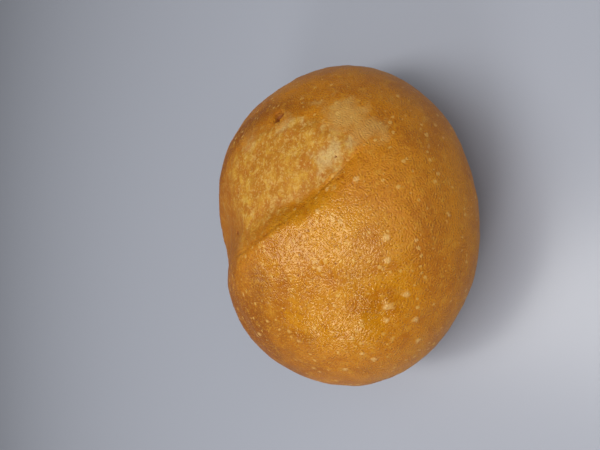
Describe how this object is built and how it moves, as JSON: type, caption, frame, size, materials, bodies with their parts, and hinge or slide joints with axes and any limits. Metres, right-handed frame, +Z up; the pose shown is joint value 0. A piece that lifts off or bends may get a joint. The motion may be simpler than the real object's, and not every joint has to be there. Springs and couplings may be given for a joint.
{
  "type": "bread roll",
  "caption": "Round crusty white bread roll with one deep slash across its top, standing on its flat baked base.",
  "frame": {"origin": "middle of the roll's bounding box, at the level of the flat base it stands on", "axes": "+Z up; +X across the slash, from the raised lip's lobe to the lobe beyond the opened crumb; -Y towards the end of the slash where it fades out in front"},
  "size_m": [0.098, 0.092, 0.0565],
  "materials": {
    "crust": "golden-brown baked crust with a soft sheen, fine wrinkles and pale blisters; paler torn crumb in the slash"
  },
  "bodies": {
    "root": {"bread_roll": "crust"}
  },
  "joints": []
}
